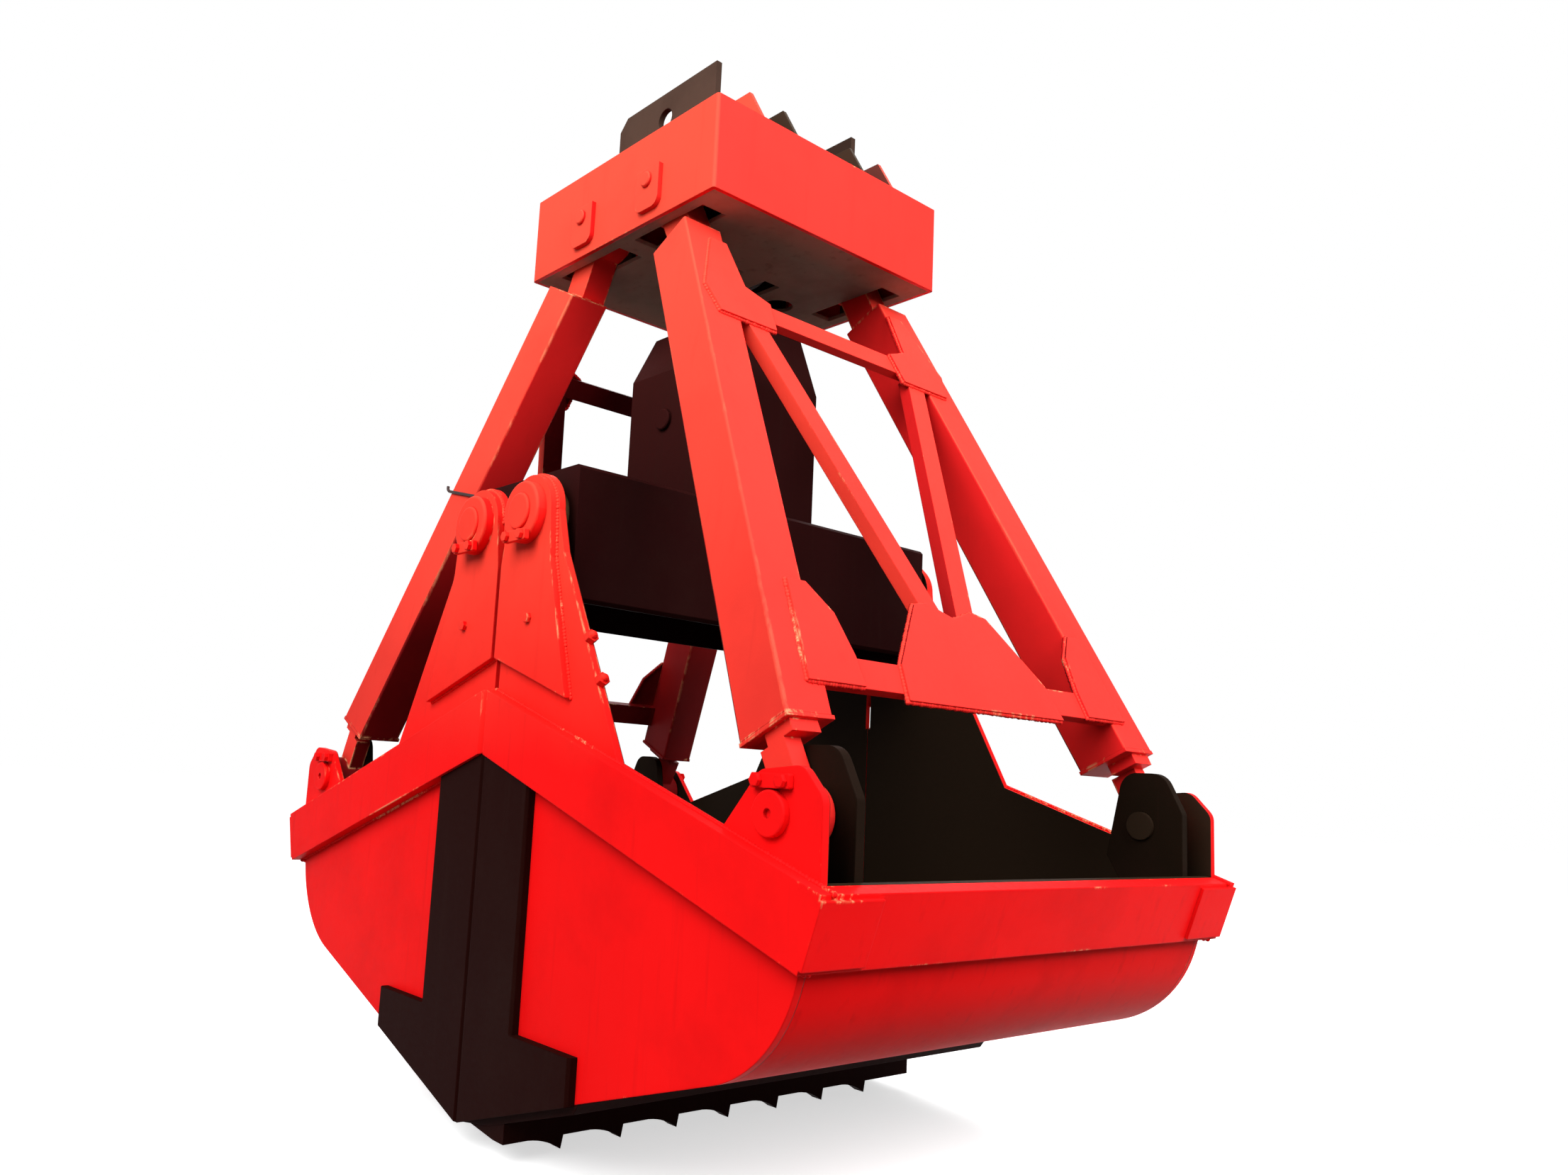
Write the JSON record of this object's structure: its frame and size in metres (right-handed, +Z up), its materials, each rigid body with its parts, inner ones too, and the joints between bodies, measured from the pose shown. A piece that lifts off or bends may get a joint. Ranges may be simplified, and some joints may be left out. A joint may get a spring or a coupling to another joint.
{
  "type": "clamshell grab bucket",
  "caption": "Rope-operated clamshell grab with a box head, braced arm pairs, a sliding sheave block and toothed curved jaws that swing open as the block drops.",
  "frame": {"origin": "middle of the suspension bores in the two lug plates on the head, halfway between the plates", "axes": "+Z up, X across the jaws in the opening direction, Y along the hinge pins and the suspension bores"},
  "size_m": [3.017, 2.008, 3.713],
  "materials": {
    "red_paint": "gloss",
    "dark_paint": "satin",
    "black_lip": "satin",
    "steel": "satin",
    "cast_sheave": "satin",
    "bronze": "satin"
  },
  "bodies": {
    "head": {"head_casing": "red_paint", "head_base": "dark_paint", "head_sheave_plates": "dark_paint", "upper_shaft": "steel", "arm_brackets": "red_paint", "arm_pins": "steel", "rope_bushes": "steel", "guide_cheeks": "red_paint", "suspension_lugs": "dark_paint"},
    "lower_block": {"block_casing": "dark_paint", "hinge_bushes": "bronze", "sheave_housing": "dark_paint", "lower_shaft": "steel"},
    "right_shell": {"right_pan": "red_paint", "right_end_plates": "red_paint", "right_rim_band": "red_paint", "right_hinge_bosses": "red_paint", "right_inner_ears": "dark_paint", "right_side_lips": "black_lip", "right_bottom_lip": "black_lip", "right_teeth": "black_lip", "right_hinge_pins": "red_paint", "right_ear_pins": "red_paint", "right_keepers": "red_paint", "right_keeper_bolts": "red_paint"},
    "right_arm_pair": {"right_arms": "red_paint", "right_lower_beam": "red_paint", "right_upper_beam": "red_paint", "right_braces": "red_paint", "right_gussets": "red_paint", "right_feet": "red_paint", "right_foot_bushes": "bronze", "right_head_eyes": "red_paint"},
    "left_shell": {"left_pan": "red_paint", "left_end_plates": "red_paint", "left_rim_band": "red_paint", "left_hinge_bosses": "red_paint", "left_inner_ears": "dark_paint", "left_side_lips": "black_lip", "left_bottom_lip": "black_lip", "left_teeth": "black_lip", "left_hinge_pins": "red_paint", "left_ear_pins": "red_paint", "left_keepers": "red_paint", "left_keeper_bolts": "red_paint"},
    "left_arm_pair": {"left_arms": "red_paint", "left_lower_beam": "red_paint", "left_upper_beam": "red_paint", "left_braces": "red_paint", "left_gussets": "red_paint", "left_feet": "red_paint", "left_foot_bushes": "bronze", "left_head_eyes": "red_paint"},
    "upper_sheave_near": {"upper_sheave_near": "cast_sheave"},
    "upper_sheave_far": {"upper_sheave_far": "cast_sheave"},
    "lower_sheave_near": {"lower_sheave_near": "cast_sheave"},
    "lower_sheave_far": {"lower_sheave_far": "cast_sheave"}
  },
  "joints": [
    {"name": "block_slide", "type": "slide", "parent": "head", "child": "lower_block", "axis": [0, 0, -1], "range_m": [0, 0.8]},
    {"name": "right_shell_hinge", "type": "hinge", "parent": "lower_block", "child": "right_shell", "pos_m": [0.16, 0, -1.669], "axis": [0, -1, 0], "range_deg": [0, 43.31]},
    {"name": "right_arm_hinge", "type": "hinge", "parent": "right_shell", "child": "right_arm_pair", "pos_m": [1.3, 0, -2.549], "axis": [0, 1, 0], "range_deg": [0, 33.19]},
    {"name": "left_shell_hinge", "type": "hinge", "parent": "lower_block", "child": "left_shell", "pos_m": [-0.16, 0, -1.669], "axis": [0, 1, 0], "range_deg": [0, 43.31]},
    {"name": "left_arm_hinge", "type": "hinge", "parent": "left_shell", "child": "left_arm_pair", "pos_m": [-1.3, 0, -2.549], "axis": [0, -1, 0], "range_deg": [0, 33.19]},
    {"name": "upper_sheave_near_spin", "type": "hinge", "parent": "head", "child": "upper_sheave_near", "pos_m": [0, 0, -0.388], "axis": [0, 1, 0], "continuous": true},
    {"name": "upper_sheave_far_spin", "type": "hinge", "parent": "head", "child": "upper_sheave_far", "pos_m": [0, 0, -0.388], "axis": [0, 1, 0], "continuous": true},
    {"name": "lower_sheave_near_spin", "type": "hinge", "parent": "lower_block", "child": "lower_sheave_near", "pos_m": [0, 0, -1.169], "axis": [0, 1, 0], "continuous": true},
    {"name": "lower_sheave_far_spin", "type": "hinge", "parent": "lower_block", "child": "lower_sheave_far", "pos_m": [0, 0, -1.169], "axis": [0, 1, 0], "continuous": true}
  ],
  "couplings": [
    {"joint": "right_shell_hinge", "follows": "block_slide", "rad_per_m": 0.94475},
    {"joint": "right_arm_hinge", "follows": "block_slide", "rad_per_m": 0.72379},
    {"joint": "left_shell_hinge", "follows": "block_slide", "rad_per_m": 0.94475},
    {"joint": "left_arm_hinge", "follows": "block_slide", "rad_per_m": 0.72379}
  ]
}
